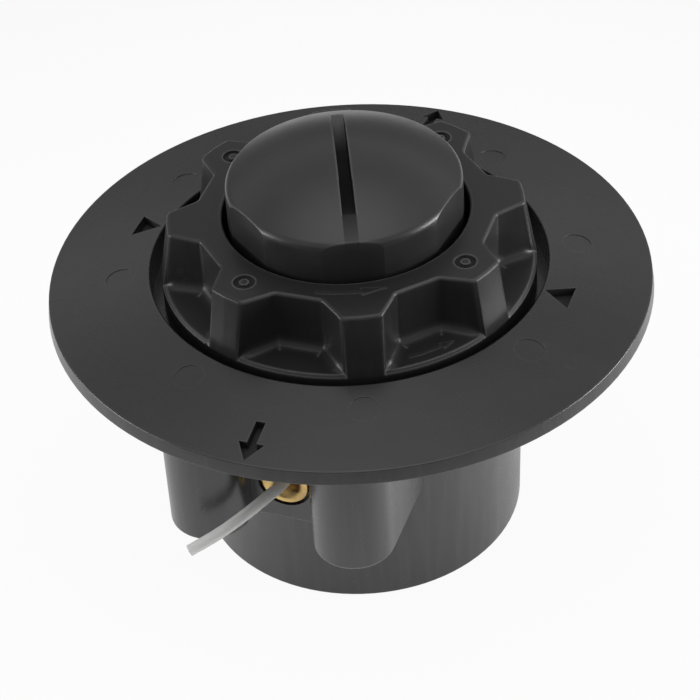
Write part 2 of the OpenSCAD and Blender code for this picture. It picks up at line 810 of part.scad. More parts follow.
housing();
spindle();
front_eyelet();
rear_eyelet();
line_end();
thrust_washer();
spool();
lower_winding();
upper_winding();
grip_wheel();
wheel_screw_1();
wheel_screw_2();
wheel_screw_3();
wheel_screw_4();
spool_washer();
spool_circlip();
feed_spring();
feed_dog();
end_washer();
end_screw();
bump_button();
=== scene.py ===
import math

import bmesh
import bpy
from mathutils import Matrix, Vector


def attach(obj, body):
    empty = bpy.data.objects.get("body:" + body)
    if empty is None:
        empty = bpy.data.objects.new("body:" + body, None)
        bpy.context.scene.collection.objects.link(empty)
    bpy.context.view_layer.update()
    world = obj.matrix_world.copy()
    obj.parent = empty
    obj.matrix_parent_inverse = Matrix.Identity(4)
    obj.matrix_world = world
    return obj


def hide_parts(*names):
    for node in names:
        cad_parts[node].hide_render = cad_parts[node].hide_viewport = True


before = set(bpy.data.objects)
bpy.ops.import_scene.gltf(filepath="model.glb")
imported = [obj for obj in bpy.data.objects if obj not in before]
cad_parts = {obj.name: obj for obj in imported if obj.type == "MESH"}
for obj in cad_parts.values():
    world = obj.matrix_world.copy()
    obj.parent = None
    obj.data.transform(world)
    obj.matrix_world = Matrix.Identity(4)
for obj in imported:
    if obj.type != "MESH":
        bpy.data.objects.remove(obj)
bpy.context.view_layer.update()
print("frame loaded")


# Camera: long lens, from the front right and above

camera = {
    "place": (0.14402, -0.37131, 0.36230),
    "right": (0.94442, 0.32481, -0.05067),
    "up": (-0.16817, 0.60980, 0.77450),
    "lens": 123.8, "sensor": 36, "clip": (0.01, 20),
}


def makeCamera():
    data = bpy.data.cameras.new("camera")
    data.lens = camera["lens"]
    data.sensor_width = camera["sensor"]
    data.clip_start, data.clip_end = camera["clip"]
    right = Vector(camera["right"]).normalized()
    back = right.cross(Vector(camera["up"])).normalized()
    up = back.cross(right)
    turn = Matrix((right, up, back)).transposed()
    eye = bpy.data.objects.new("camera", data)
    eye.matrix_world = Matrix.Translation(camera["place"]) @ turn.to_4x4()
    bpy.context.scene.collection.objects.link(eye)
    bpy.context.scene.camera = eye


makeCamera()


# Shared helpers


def addObject(name, mesh):
    piece = bpy.data.objects.new(name, mesh)
    bpy.context.scene.collection.objects.link(piece)
    return piece


def meshFrom(bm, name, smoothAngle=32):
    mesh = bpy.data.meshes.new(name)
    for face in bm.faces:
        face.smooth = True
    for edge in bm.edges:
        if len(edge.link_faces) == 2:
            edge.smooth = edge.calc_face_angle(0) < math.radians(smoothAngle)
    bm.to_mesh(mesh)
    bm.free()
    return mesh


def finishPiece(name, bm, material, body, node, smoothAngle=32):
    piece = addObject(name, meshFrom(bm, name, smoothAngle))
    piece.data.materials.append(material)
    weighted = piece.modifiers.new("evenShading", "WEIGHTED_NORMAL")
    weighted.keep_sharp = True
    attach(piece, body)
    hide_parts(node)
    print(name, len(piece.data.polygons), "faces")


# Shader nodes: a socket among the inputs is linked, any other value is set


def addNode(tree, kind, inputs=None, **options):
    node = tree.nodes.new("ShaderNode" + kind)
    for name, value in options.items():
        setattr(node, name, value)
    for socket, value in (inputs or {}).items():
        if isinstance(value, bpy.types.NodeSocket):
            tree.links.new(value, node.inputs[socket])
        else:
            node.inputs[socket].default_value = value
    return node


def spread(tree, value, fromLow, fromHigh, toLow, toHigh):
    return addNode(tree, "MapRange", {
        "Value": value, "From Min": fromLow, "From Max": fromHigh, "To Min": toLow,
        "To Max": toHigh}).outputs["Result"]


def calculate(tree, operation, first, *others):
    for other in others:
        first = addNode(tree, "Math", {0: first, 1: other}, operation=operation).outputs["Value"]
    return first


def positive(tree, value):
    return addNode(tree, "Math", {0: value}, operation="ABSOLUTE").outputs["Value"]


def hypotenuse(tree, first, second):
    squares = [calculate(tree, "MULTIPLY", side, side) for side in (first, second)]
    return addNode(tree, "Math", {0: calculate(tree, "ADD", *squares)}, operation="SQRT").outputs["Value"]


def vectorMath(tree, operation, *vectors):
    return addNode(tree, "VectorMath", dict(enumerate(vectors)), operation=operation).outputs


def parted(tree, vector):
    return addNode(tree, "SeparateXYZ", {0: vector}).outputs


def objectPlace(tree):
    return addNode(tree, "TexCoord").outputs["Object"]


def noise(tree, vector, scale, detail=2, roughness=0.5):
    return addNode(tree, "TexNoise", {
        "Vector": vector, "Scale": scale, "Detail": detail, "Roughness": roughness}).outputs["Fac"]


def blendColours(tree, share, first, second):
    return addNode(tree, "Mix", {"Factor": share, "A": first, "B": second},
                   data_type="RGBA").outputs["Result"]


def newGroup(name, inputs, outputs):
    group = bpy.data.node_groups.new(name, "ShaderNodeTree")
    for direction, sockets in (("INPUT", inputs), ("OUTPUT", outputs)):
        for label, kind in sockets:
            group.interface.new_socket(label, in_out=direction, socket_type="NodeSocket" + kind)
    return group, group.nodes.new("NodeGroupInput").outputs, group.nodes.new("NodeGroupOutput")


def newMaterial(name, settings):
    material = bpy.data.materials.new(name)
    material.use_nodes = True
    tree = material.node_tree
    tree.nodes.clear()
    shader = addNode(tree, "BsdfPrincipled", settings)
    addNode(tree, "OutputMaterial", {"Surface": shader.outputs["BSDF"]})
    return material, tree, shader


def dressShader(tree, shader, group, look, links):
    surface = addNode(tree, "Group", links, node_tree=group)
    for label, value in look.items():
        if label in surface.inputs:
            surface.inputs[label].default_value = (*value, 1) if isinstance(value, tuple) else value
    for label, socket in (("Colour", "Base Color"), ("Roughness", "Roughness"), ("Normal", "Normal")):
        tree.links.new(surface.outputs[label], shader.inputs[socket])


# Moulded plastic: fine grain, a slow unevenness, hairline scuffs and paler edges, which are partly rubbed
# wear and partly a painted highlight.
# A row of four numbers maps a range of values to a range of results.

moulded = {
    "mottle": {"scale": 55, "detail": 5, "roughness": 0.6},
    "cloud": {"scale": 14, "detail": 2}, "cloudShare": (0.4, 0.7, 0, 0.07),
    "hair": {"scale": 130, "detail": 1}, "hairWidth": (0, 0.006, 1, 0), "hairPatches": (0.52, 0.62, 0, 1),
    "hairShare": 0.06, "hairRoughness": 0.08,
    "edgeRadius": 0.0007, "edgeSamples": 4, "edgeTurn": (0.995, 0.93, 0, 1),
    "edgePatches": (0.3, 0.6, 0.6, 1), "edgeLean": (0.1, 0.4, 0.3, 1),
    "streak": {"scale": 420, "detail": 4, "roughness": 0.65}, "streakStretch": (1, 1, 0.07),
    "streakPatches": (0.45, 0.75, 0, 1), "streakWalls": (0.3, 0.6, 1, 0), "streakRoughness": 0.08,
    # Near-black painted shade for recesses, and their extra roughness
    "paintedRecessShade": (0.003, 0.003, 0.003, 1), "recessRoughness": 0.45,
    "unevenRoughness": (0.25, 0.75, -0.05, 0.05),
    "swell": {"scale": 75, "detail": 2}, "swellHeight": 0.0006,
    "grain": {"scale": 4200, "detail": 3, "roughness": 0.6}, "grainHeight": 0.00006,
}


def makeMouldedGroup():
    tree, given, result = newGroup("mouldedSurface", (
        ("Colour", "Color"), ("RubbedAndHighlight", "Color"), ("Roughness", "Float"), ("Grain", "Float"),
        ("Unevenness", "Float"), ("WearAndHighlight", "Float"), ("Streaks", "Float"), ("ShadedRecess", "Float")),
        (("Colour", "Color"), ("Roughness", "Float"), ("Normal", "Vector")))
    place = objectPlace(tree)
    mottle = noise(tree, place, **moulded["mottle"])
    cloud = noise(tree, place, **moulded["cloud"])
    contour = positive(tree, calculate(tree, "SUBTRACT", noise(tree, place, **moulded["hair"]), 0.5))
    hair = calculate(tree, "MULTIPLY", spread(tree, contour, *moulded["hairWidth"]),
                     spread(tree, mottle, *moulded["hairPatches"]))
    # Paler edges: partly wear, partly painted highlight, fullest where the rounded normal leans up or down
    rounded = addNode(tree, "Bevel", {"Radius": moulded["edgeRadius"]},
                      samples=moulded["edgeSamples"]).outputs["Normal"]
    straight = addNode(tree, "NewGeometry").outputs["Normal"]
    turn = vectorMath(tree, "DOT_PRODUCT", rounded, straight)["Value"]
    lean = positive(tree, parted(tree, rounded)[2])
    rubbedAndHighlit = calculate(tree, "MULTIPLY", spread(tree, turn, *moulded["edgeTurn"]), given["WearAndHighlight"],
                       spread(tree, mottle, *moulded["edgePatches"]),
                       spread(tree, lean, *moulded["edgeLean"]))
    flow = vectorMath(tree, "MULTIPLY", place, moulded["streakStretch"])["Vector"]
    steep = positive(tree, parted(tree, straight)[2])
    streak = calculate(tree, "MULTIPLY", given["Streaks"], spread(tree, steep, *moulded["streakWalls"]),
                       spread(tree, noise(tree, flow, **moulded["streak"]), *moulded["streakPatches"]))
    share = calculate(tree, "ADD", rubbedAndHighlit, calculate(tree, "MULTIPLY", hair, moulded["hairShare"]),
                      spread(tree, cloud, *moulded["cloudShare"]), streak)
    colour = blendColours(tree, calculate(tree, "MINIMUM", share, 1), given["Colour"], given["RubbedAndHighlight"])
    # Painted shade: recesses are blended towards near black
    colour = blendColours(tree, given["ShadedRecess"], colour, moulded["paintedRecessShade"])
    rough = calculate(tree, "ADD", given["Roughness"], spread(tree, mottle, *moulded["unevenRoughness"]),
                      calculate(tree, "MULTIPLY", hair, moulded["hairRoughness"]),
                      calculate(tree, "MULTIPLY", streak, moulded["streakRoughness"]),
                      calculate(tree, "MULTIPLY", given["ShadedRecess"], moulded["recessRoughness"]))
    slow = addNode(tree, "Bump", {
        "Strength": given["Unevenness"], "Distance": moulded["swellHeight"],
        "Height": noise(tree, place, **moulded["swell"])})
    fine = addNode(tree, "Bump", {
        "Strength": given["Grain"], "Distance": moulded["grainHeight"],
        "Height": noise(tree, place, **moulded["grain"]), "Normal": slow.outputs["Normal"]})
    for label, socket in (("Colour", colour), ("Roughness", rough), ("Normal", fine.outputs["Normal"])):
        tree.links.new(socket, result.inputs[label])
    return tree


mouldedGroup = makeMouldedGroup()


# Recesses darkened with painted shade, in metres and degrees: the marks in the disc's sloping top, the coin
# groove and the gate rings of the wheel

recesses = {
    "marks": {"rimRadius": 0.0625, "rimHeight": 0.06, "slope": 0.169, "radius": (0.0428, 0.0615),
              "depth": (0.0005, 0.0027)},
    "groove": {"turn": 113.2, "length": (-0.0178, 0.009), "fade": 0.008, "width": (-0.00135, 0.00135),
               "height": (0.082, 0.0895)},
    "gates": {"turn": 68.9, "across": 0.0309, "radius": (0.001, 0.0022), "height": (0.0755, 0.0759),
              "share": 0.7},
}


def between(tree, value, low, high, edge=0.0001):
    return calculate(tree, "MULTIPLY", spread(tree, value, low - edge, low, 0, 1),
                     spread(tree, value, high, high + edge, 1, 0))


def turnedPlace(tree, degrees):
    return addNode(tree, "VectorRotate", {
        "Vector": objectPlace(tree), "Angle": -math.radians(degrees)},
        rotation_type="Z_AXIS").outputs["Vector"]


def marksMask(tree):
    marks = recesses["marks"]
    parts = parted(tree, objectPlace(tree))
    radius = hypotenuse(tree, parts[0], parts[1])
    middleHeight = marks["rimHeight"] + marks["slope"] * marks["rimRadius"]
    top = spread(tree, radius, 0, marks["rimRadius"], middleHeight, marks["rimHeight"])
    return calculate(tree, "MULTIPLY", between(tree, radius, *marks["radius"]),
                     between(tree, calculate(tree, "SUBTRACT", top, parts[2]), *marks["depth"]))


def grooveMask(tree):
    groove = recesses["groove"]
    parts = parted(tree, turnedPlace(tree, groove["turn"]))
    return calculate(tree, "MULTIPLY", between(tree, parts[0], *groove["length"], groove["fade"]),
                     between(tree, parts[1], *groove["width"]), between(tree, parts[2], *groove["height"]))


def gatesMask(tree):
    gates = recesses["gates"]
    parts = parted(tree, vectorMath(tree, "ABSOLUTE", turnedPlace(tree, gates["turn"]))["Vector"])
    along = calculate(tree, "SUBTRACT", calculate(tree, "MAXIMUM", parts[0], parts[1]), gates["across"])
    aside = calculate(tree, "MINIMUM", parts[0], parts[1])
    return calculate(tree, "MULTIPLY", between(tree, hypotenuse(tree, along, aside), *gates["radius"]),
                     between(tree, parts[2], *gates["height"]), gates["share"])


def mouldedPlastic(name, look):
    material, tree, shader = newMaterial(name, {"Specular IOR Level": look["Specular"]})
    links = {"ShadedRecess": look["mask"](tree)} if "mask" in look else {}
    dressShader(tree, shader, mouldedGroup, look, links)
    return material


# The pale colour of each plastic is that of its scuffs and wear, and of the highlight painted along its
# edges
plastics = {
    "housingPlastic": {
        "Colour": (0.019, 0.019, 0.0197), "RubbedAndHighlight": (0.1, 0.1, 0.101), "Roughness": 0.27,
        "Grain": 0.35, "Unevenness": 0.1, "WearAndHighlight": 0.4, "Streaks": 0.28, "Specular": 0.95,
        "mask": marksMask},
    "wheelPlastic": {
        "Colour": (0.021, 0.021, 0.0213), "RubbedAndHighlight": (0.24, 0.24, 0.241), "Roughness": 0.34,
        "Grain": 0.35, "Unevenness": 0.12, "WearAndHighlight": 0.75, "Streaks": 0.03, "Specular": 0.4,
        "mask": gatesMask},
    "buttonPlastic": {
        "Colour": (0.025, 0.025, 0.0253), "RubbedAndHighlight": (0.16, 0.16, 0.161), "Roughness": 0.34,
        "Grain": 0.4, "Unevenness": 0.1, "WearAndHighlight": 0.8, "Streaks": 0.03, "Specular": 0.75,
        "mask": grooveMask},
    "spoolPlastic": {
        "Colour": (0.022, 0.022, 0.023), "RubbedAndHighlight": (0.05, 0.05, 0.05), "Roughness": 0.5,
        "Grain": 0.5, "Unevenness": 0.1, "WearAndHighlight": 0.4, "Streaks": 0.1, "Specular": 0.42},
}
housingPlastic, wheelPlastic, buttonPlastic, spoolPlastic = (
    mouldedPlastic(name, look) for name, look in plastics.items())


# Turned metal: lathe lines round the axis, fine pits and a dull bloom

turned = {
    "lines": {"scale": 5200, "detail": 3, "roughness": 0.7}, "lineDepth": 0.00003,
    "pits": {"scale": 900, "detail": 4, "roughness": 0.65}, "pitDepth": 0.00004, "pitStrength": 0.25,
    "pitRoughness": (0.3, 0.7, -0.05, 0.12),
    "bloom": {"scale": 160, "detail": 4, "roughness": 0.6}, "bloomPatches": (0.42, 0.68, 0, 0.8),
    "bloomRoughness": 0.12,
}


def makeTurnedGroup():
    tree, given, result = newGroup("turnedSurface", (
        ("Vector", "Vector"), ("Colour", "Color"), ("Bloom", "Color"), ("Roughness", "Float"),
        ("Lines", "Float")), (("Colour", "Color"), ("Roughness", "Float"), ("Normal", "Vector")))
    place = given["Vector"]
    parts = parted(tree, place)
    section = addNode(tree, "CombineXYZ", {
        0: hypotenuse(tree, parts[0], parts[1]), 1: parts[2]}).outputs["Vector"]
    pits = noise(tree, place, **turned["pits"])
    dull = spread(tree, noise(tree, place, **turned["bloom"]), *turned["bloomPatches"])
    rough = calculate(tree, "ADD", given["Roughness"], spread(tree, pits, *turned["pitRoughness"]),
                      calculate(tree, "MULTIPLY", dull, turned["bloomRoughness"]))
    lined = addNode(tree, "Bump", {
        "Strength": given["Lines"], "Distance": turned["lineDepth"],
        "Height": noise(tree, section, **turned["lines"])})
    pitted = addNode(tree, "Bump", {
        "Strength": turned["pitStrength"], "Distance": turned["pitDepth"], "Height": pits,
        "Normal": lined.outputs["Normal"]})
    colour = blendColours(tree, dull, given["Colour"], given["Bloom"])
    for label, socket in (("Colour", colour), ("Roughness", rough), ("Normal", pitted.outputs["Normal"])):
        tree.links.new(socket, result.inputs[label])
    return tree


turnedGroup = makeTurnedGroup()


def turnedMetal(name, look):
    material, tree, shader = newMaterial(name, {"Metallic": 1})
    place = addNode(tree, "Mapping", {
        "Vector": objectPlace(tree), "Location": look.get("Centre", (0, 0, 0)),
        "Rotation": look.get("Turn", (0, 0, 0))}).outputs["Vector"]
    dressShader(tree, shader, turnedGroup, look, {"Vector": place})
    return material


metals = {
    "brass": {
        "Colour": (0.7, 0.49, 0.2), "Bloom": (0.42, 0.29, 0.13), "Roughness": 0.26, "Lines": 0.5,
        "Centre": (0, 0.0385, 0), "Turn": (math.pi / 2, 0, 0)},
    "spindleSteel": {
        "Colour": (0.5, 0.5, 0.5), "Bloom": (0.32, 0.31, 0.3), "Roughness": 0.3, "Lines": 0.6},
    "washerSteel": {
        "Colour": (0.62, 0.62, 0.62), "Bloom": (0.48, 0.48, 0.47), "Roughness": 0.28, "Lines": 0.4},
    "screwSteel": {
        "Colour": (0.52, 0.52, 0.53), "Bloom": (0.36, 0.36, 0.37), "Roughness": 0.3, "Lines": 0.3},
    "springSteel": {
        "Colour": (0.34, 0.34, 0.35), "Bloom": (0.2, 0.2, 0.21), "Roughness": 0.34, "Lines": 0.2},
    "dogMetal": {
        "Colour": (0.58, 0.58, 0.59), "Bloom": (0.44, 0.44, 0.45), "Roughness": 0.42, "Lines": 0.15},
}
brass, spindleSteel, washerSteel, screwSteel, springSteel, dogMetal = (
    turnedMetal(name, look) for name, look in metals.items())


# Nylon line: milky, with a slight cloudiness and fine drawing marks

nylonLook = {
    "clear": (1, 1, 0.98, 1), "cloudy": (0.92, 0.92, 0.9, 1),
    "cloud": {"scale": 320, "detail": 3}, "cloudPatches": (0.35, 0.7, 0, 1),
    "roughness": (0, 1, 0.2, 0.32),
    "drawn": {"scale": 2600, "detail": 2}, "drawnStrength": 0.3, "drawnHeight": 0.00005,
    "shader": {
        "Specular IOR Level": 1, "Sheen Weight": 1, "Sheen Roughness": 0.7, "Coat Weight": 1,
        "Coat Roughness": 0.12, "Subsurface Weight": 0.6, "Subsurface Radius": (0.0012, 0.0012, 0.001),
        "Subsurface Scale": 1},
}


def makeNylon():
    material, tree, shader = newMaterial("nylon", nylonLook["shader"])
    place = objectPlace(tree)
    cloud = spread(tree, noise(tree, place, **nylonLook["cloud"]), *nylonLook["cloudPatches"])
    drawn = addNode(tree, "Bump", {
        "Strength": nylonLook["drawnStrength"], "Distance": nylonLook["drawnHeight"],
        "Height": noise(tree, place, **nylonLook["drawn"])})
    for socket, value in (
            ("Base Color", blendColours(tree, cloud, nylonLook["clear"], nylonLook["cloudy"])),
            ("Roughness", spread(tree, cloud, *nylonLook["roughness"])),
            ("Normal", drawn.outputs["Normal"])):
        tree.links.new(value, shader.inputs[socket])
    return material


nylon = makeNylon()
print("materials made")


# Cutting line out of the front eyelet, with its route in mm

line = {
    "diameter": 0.0024, "roundness": 6,
    "route": [
        (0.3, -32.6, 38.5), (0.35, -36, 38.5), (0.3, -39, 38.5), (0.15, -41.5, 38.5),
        (-0.25, -43.6, 38.5), (-0.85, -45.4, 38.4), (-1.8, -47.2, 38.15), (-3.2, -49.7, 37.6),
        (-4.6, -52, 37), (-6.2, -54.2, 36.3), (-8, -56.3, 35.4), (-9.9, -58.1, 34.5),
        (-12, -59.8, 33.5), (-14, -61.2, 32.5)],
}


def makeLine():
    path = [Vector(point) / 1000 for point in line["route"]]
    curve = bpy.data.curves.new("lineEnd", "CURVE")
    curve.dimensions = "3D"
    curve.bevel_depth = line["diameter"] / 2
    curve.bevel_resolution = line["roundness"]
    curve.use_fill_caps = True
    spline = curve.splines.new("POLY")
    spline.points.add(len(path) - 1)
    for point, place in zip(spline.points, path):
        point.co = (*place, 1)
    piece = addObject("lineEnd", curve)
    curve.materials.append(nylon)
    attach(piece, "housing")
    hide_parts("line_end")


makeLine()


# Moulded pieces: a merged copy of the CAD node, with its edges rounded zone by zone. A zone
# gives the range of radius and height, in mm, that the middle of an edge lies in. It may take
# outer or hollow edges only, and leave out those near the middle of a lobe or near a gate mark.

rounding = {"flat": 0.3, "merge": 0.000001, "segments": 4, "profile": 0.5}

# The wheel's lobes, in mm and degrees, with a gate mark on every second one
lobes = {
    "first": 23.9, "apart": 45, "marked": (1, 3, 5, 7), "gateRadius": 30.9, "rimRadius": 38.8,
    "rimHeight": 63.1, "footRadius": (38.3, 38.7), "footHeight": (63.2, 63.6),
}


def ringPoint(radius, degrees):
    return radius * math.cos(math.radians(degrees)), radius * math.sin(math.radians(degrees))


gateCentres = [ringPoint(lobes["gateRadius"], lobes["first"] + lobes["apart"] * i) for i in lobes["marked"]]


def offLobe(place):
    angle = math.degrees(math.atan2(place.y, place.x)) - lobes["first"]
    return abs((angle + lobes["apart"] / 2) % lobes["apart"] - lobes["apart"] / 2)


def within(value, limits):
    return limits[0] <= value <= limits[1]


def inZone(edge, zone, sharp):
    if len(edge.link_faces) != 2 or edge.calc_face_angle(0) < math.radians(sharp):
        return False
    middle = (edge.verts[0].co + edge.verts[1].co) / 2 * 1000
    if not (within(math.hypot(middle.x, middle.y), zone["radius"]) and within(middle.z, zone["height"])):
        return False
    if "hollow" in zone and zone["hollow"] == edge.is_convex:
        return False
    if offLobe(middle) < zone.get("offLobes", 0):
        return False
    return all(math.hypot(middle.x - x, middle.y - y) > zone.get("offGates", 0) for x, y in gateCentres)


def softCopy(name, node, settings, material, body, prepare=None, complete=None):
    bm = bmesh.new()
    bm.from_mesh(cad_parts[node].data)
    bmesh.ops.remove_doubles(bm, verts=bm.verts, dist=settings["weld"] / 1000)
    bmesh.ops.dissolve_limit(bm, angle_limit=math.radians(rounding["flat"]), verts=bm.verts, edges=bm.edges)
    if prepare:
        prepare(bm)
    for zone in settings["zones"]:
        edges = [edge for edge in bm.edges if inZone(edge, zone, settings["sharp"])]
        if edges:
            bmesh.ops.bevel(bm, geom=edges, offset=zone["width"] / 1000, offset_type="OFFSET",
                            segments=zone.get("segments", rounding["segments"]),
                            profile=rounding["profile"], affect="EDGES", clamp_overlap=True, material=-1)
        print(name, zone["of"], len(edges), "edges")
    bmesh.ops.remove_doubles(bm, verts=bm.verts, dist=rounding["merge"])
    if complete:
        complete(bm)
    finishPiece(name, bm, material, body, node, settings["smooth"])


# The outer faces of the lobes run down into the side of the rim
def sinkFeet(bm):
    for vert in bm.verts:
        radius = math.hypot(vert.co.x, vert.co.y) * 1000
        if within(radius, lobes["footRadius"]) and within(vert.co.z * 1000, lobes["footHeight"]):
            out = lobes["rimRadius"] / radius
            vert.co = (vert.co.x * out, vert.co.y * out, lobes["rimHeight"] / 1000)


# Hollow fillets along the foot of the lobes, narrower where they meet the lip of the rim
fillet = {
    "foot": {"radius": (30, 38.15), "height": (63.5, 64), "hollow": True, "offLobes": 5.9},
    "sharp": 28, "width": 2.3, "least": 0.02, "slant": 0.35, "step": 0.7, "segments": 8,
    "lipRadius": 38.1, "sink": 0.08,
}


def joinRings(bm, rings):
    faces = [bm.faces.new(rings[0]), bm.faces.new(rings[-1][::-1])]
    for first, second in zip(rings, rings[1:]):
        for i in range(len(first)):
            j = (i + 1) % len(first)
            faces.append(bm.faces.new((first[j], first[i], second[i], second[j])))
    return faces


# The runs of foot edges, as points in mm with the walls that rise from them
def footPaths(bm):
    edges = [edge for edge in bm.edges if inZone(edge, fillet["foot"], fillet["sharp"])]
    following = {}
    for edge in edges:
        wall = min(edge.link_faces, key=lambda face: abs(face.normal.z)).normal.copy()
        for vert in edge.verts:
            following.setdefault(vert, []).append((edge.other_vert(vert), wall))
    paths, done = [], set()
    for start in [vert for vert, ways in following.items() if len(ways) == 1]:
        if start in done:
            continue
        path, vert, before = [], start, None
        while True:
            done.add(vert)
            ways = [way for way in following[vert] if way[0] is not before]
            path.append((vert.co * 1000, [wall for _, wall in following[vert]]))
            if not ways:
                break
            other, wall = ways[0]
            count = max(1, round((other.co - vert.co).length * 1000 / fillet["step"]))
            for i in range(1, count):
                path.append((vert.co.lerp(other.co, i / count) * 1000, [wall]))
            before, vert = vert, other
        paths.append(path)
    return paths


def addFillets(bm):
    for path in footPaths(bm):
        sections, width = [], []
        for place, walls in path:
            level = (Vector((wall.x, wall.y, 0)).normalized() for wall in walls)
            out = sum(level, Vector()).normalized()
            wall = sum(walls, Vector()).normalized()
            up = (Vector((0, 0, 1)) - wall * wall.z).normalized()
            radial = Vector((place.x, place.y, 0)).normalized()
            room = fillet["lipRadius"] - math.hypot(place.x, place.y)
            width.append(max(fillet["least"], min(
                fillet["width"], room / max(fillet["slant"], out.dot(radial)))))
            sections.append((place, out, up))
        reach = [min(width[j] + abs(i - j) * fillet["step"] for j in range(len(width)))
                 for i in range(len(width))]
        rings = []
        for (place, out, up), wide in zip(sections, reach):
            ring = []
            for i in range(fillet["segments"] + 1):
                t = i / fillet["segments"]
                ring.append(place + out * wide * (1 - t) ** 2 + up * wide * t ** 2)
            ring.append(place - (out + up) * fillet["sink"])
            rings.append([bm.verts.new(point / 1000) for point in ring])
        bmesh.ops.recalc_face_normals(bm, faces=joinRings(bm, rings))
    print("fillets added")


# Raised arrows that show which way to wind: one on a lobe, one on the floor of a notch. They are
# worn soft: their faces have no normals yet when meshFrom marks the sharp edges, so none is marked.
arrowShape = {"rise": 0.15, "sink": 0.2, "steps": 12}
windArrows = (
    {"radius": 28.5, "height": 76.2, "tail": -83, "head": -64.5, "tip": -54.5, "width": 0.7,
     "headWidth": 2.2},
    {"radius": 35.7, "height": 63.7, "tail": -51.5, "head": -40, "tip": -35.5, "width": 0.6,
     "headWidth": 1.9},
)


def addArrows(bm):
    for arrow in windArrows:
        radius, head, steps = arrow["radius"], arrow["head"], arrowShape["steps"]
        side, wide = arrow["width"] / 2, arrow["headWidth"] / 2
        along = [arrow["tail"] + (head - arrow["tail"]) * i / steps for i in range(steps + 1)]
        outline = [(radius + side, angle) for angle in along]
        outline += [(radius + wide, head), (radius, arrow["tip"]), (radius - wide, head)]
        outline += [(radius - side, angle) for angle in reversed(along)]
        rings = [
            [bm.verts.new(Vector((*ringPoint(*point), arrow["height"] + lift)) / 1000) for point in outline]
            for lift in (arrowShape["rise"], -arrowShape["sink"])]
        joinRings(bm, rings)


def finishWheel(bm):
    addFillets(bm)
    addArrows(bm)


housingSettings = {
    "sharp": 28, "weld": 0.002, "smooth": 32,
    "zones": [
        {"of": "disc rim", "radius": (62.2, 64), "height": (56, 61), "width": 0.22},
        {"of": "opening", "radius": (40.8, 41.4), "height": (62, 65), "width": 0.5},
        {"of": "marks", "radius": (41.6, 62), "height": (59.6, 64), "width": 0.14, "segments": 2,
         "hollow": False},
        {"of": "foot of the horns", "radius": (36.2, 57), "height": (28, 29.5), "width": 0.9,
         "hollow": False},
        {"of": "foot of the cup", "radius": (30, 36), "height": (-1, 1), "width": 0.6},
        {"of": "bosses", "radius": (36.2, 57), "height": (29.5, 56), "width": 0.5},
    ],
}
wheelSettings = {
    "sharp": 28, "weld": 0.06, "smooth": 32,
    "zones": [
        {"of": "hole", "radius": (25, 26), "height": (76, 77), "width": 0.5},
        {"of": "top of the lobes", "radius": (29, 37), "height": (76, 77), "width": 0.75,
         "offGates": 2.6},
        {"of": "lip", "radius": (38.1, 38.9), "height": (63, 64), "width": 0.35, "offLobes": 6.6},
    ],
}
buttonSettings = {
    "sharp": 24, "weld": 0.002, "smooth": 12,
    "zones": [
        {"of": "top of the flats", "radius": (22.6, 24.3), "height": (82, 85), "width": 0.9,
         "hollow": False},
        {"of": "groove and foot", "radius": (3, 24.3), "height": (76.5, 91), "width": 0.3},
    ],
}

softCopy("housingShell", "housing", housingSettings, housingPlastic, "housing")
softCopy("gripWheel", "grip_wheel", wheelSettings, wheelPlastic, "spool", sinkFeet,
         finishWheel)
softCopy("bumpButton", "bump_button", buttonSettings, buttonPlastic, "button")


# Brass eyelets, turned from one profile of radius and distance from the axis, in mm

eyelet = {
    "height": 38.5, "inner": 32.6, "face": 43.7, "throat": 1.7, "barrel": 4, "barrelBevel": 0.3,
    "flange": 5.15, "flangeThickness": 1.2, "flangeBevel": 0.15, "lip": 0.5, "flare": 3.6,
    "lipSteps": 10, "flareSteps": 20, "around": 72,
}


def makeEyelet(name, node, side):
    inner, face, barrel, flange = (eyelet[part] for part in ("inner", "face", "barrel", "flange"))
    lip, shoulder = eyelet["lip"], face - eyelet["flangeThickness"]
    lipRadius = flange - lip
    profile = [(eyelet["throat"], inner), (barrel - eyelet["barrelBevel"], inner),
               (barrel, inner + eyelet["barrelBevel"]), (barrel, shoulder),
               (flange - eyelet["flangeBevel"], shoulder), (flange, shoulder + eyelet["flangeBevel"])]
    for i in range(eyelet["lipSteps"] + 1):
        angle = math.pi / 2 * i / eyelet["lipSteps"]
        profile.append((lipRadius + lip * math.cos(angle), face - lip * (1 - math.sin(angle))))
    for i in range(1, eyelet["flareSteps"] + 1):
        angle = math.pi / 2 * i / eyelet["flareSteps"]
        profile.append((lipRadius - (lipRadius - eyelet["throat"]) * math.sin(angle),
                        face - eyelet["flare"] * (1 - math.cos(angle))))
    bm = bmesh.new()
    ring = [bm.verts.new((r / 1000, side * y / 1000, eyelet["height"] / 1000)) for r, y in profile]
    rim = [bm.edges.new((a, b)) for a, b in zip(ring, ring[1:] + ring[:1])]
    bmesh.ops.spin(bm, geom=ring + rim, cent=(0, 0, eyelet["height"] / 1000), axis=(0, 1, 0),
                   angle=2 * math.pi, steps=eyelet["around"], use_merge=True)
    bmesh.ops.remove_doubles(bm, verts=bm.verts, dist=rounding["merge"])
    bmesh.ops.recalc_face_normals(bm, faces=bm.faces)
    finishPiece(name, bm, brass, "housing", node)


makeEyelet("frontEyelet", "front_eyelet", -1)
makeEyelet("rearEyelet", "rear_eyelet", 1)


# CAD nodes whose shape is right keep their mesh and get their finish

finishes = {
    spindleSteel: ("spindle",),
    washerSteel: ("thrust_washer", "spool_washer", "end_washer"),
    screwSteel: ("wheel_screw_1", "wheel_screw_2", "wheel_screw_3", "wheel_screw_4", "end_screw"),
    springSteel: ("spool_circlip", "feed_spring"),
    dogMetal: ("feed_dog",),
    spoolPlastic: ("spool",),
    nylon: ("lower_winding", "upper_winding"),
}
for material, names in finishes.items():
    for name in names:
        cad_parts[name].data.materials.clear()
        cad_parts[name].data.materials.append(material)
print("inner parts finished")
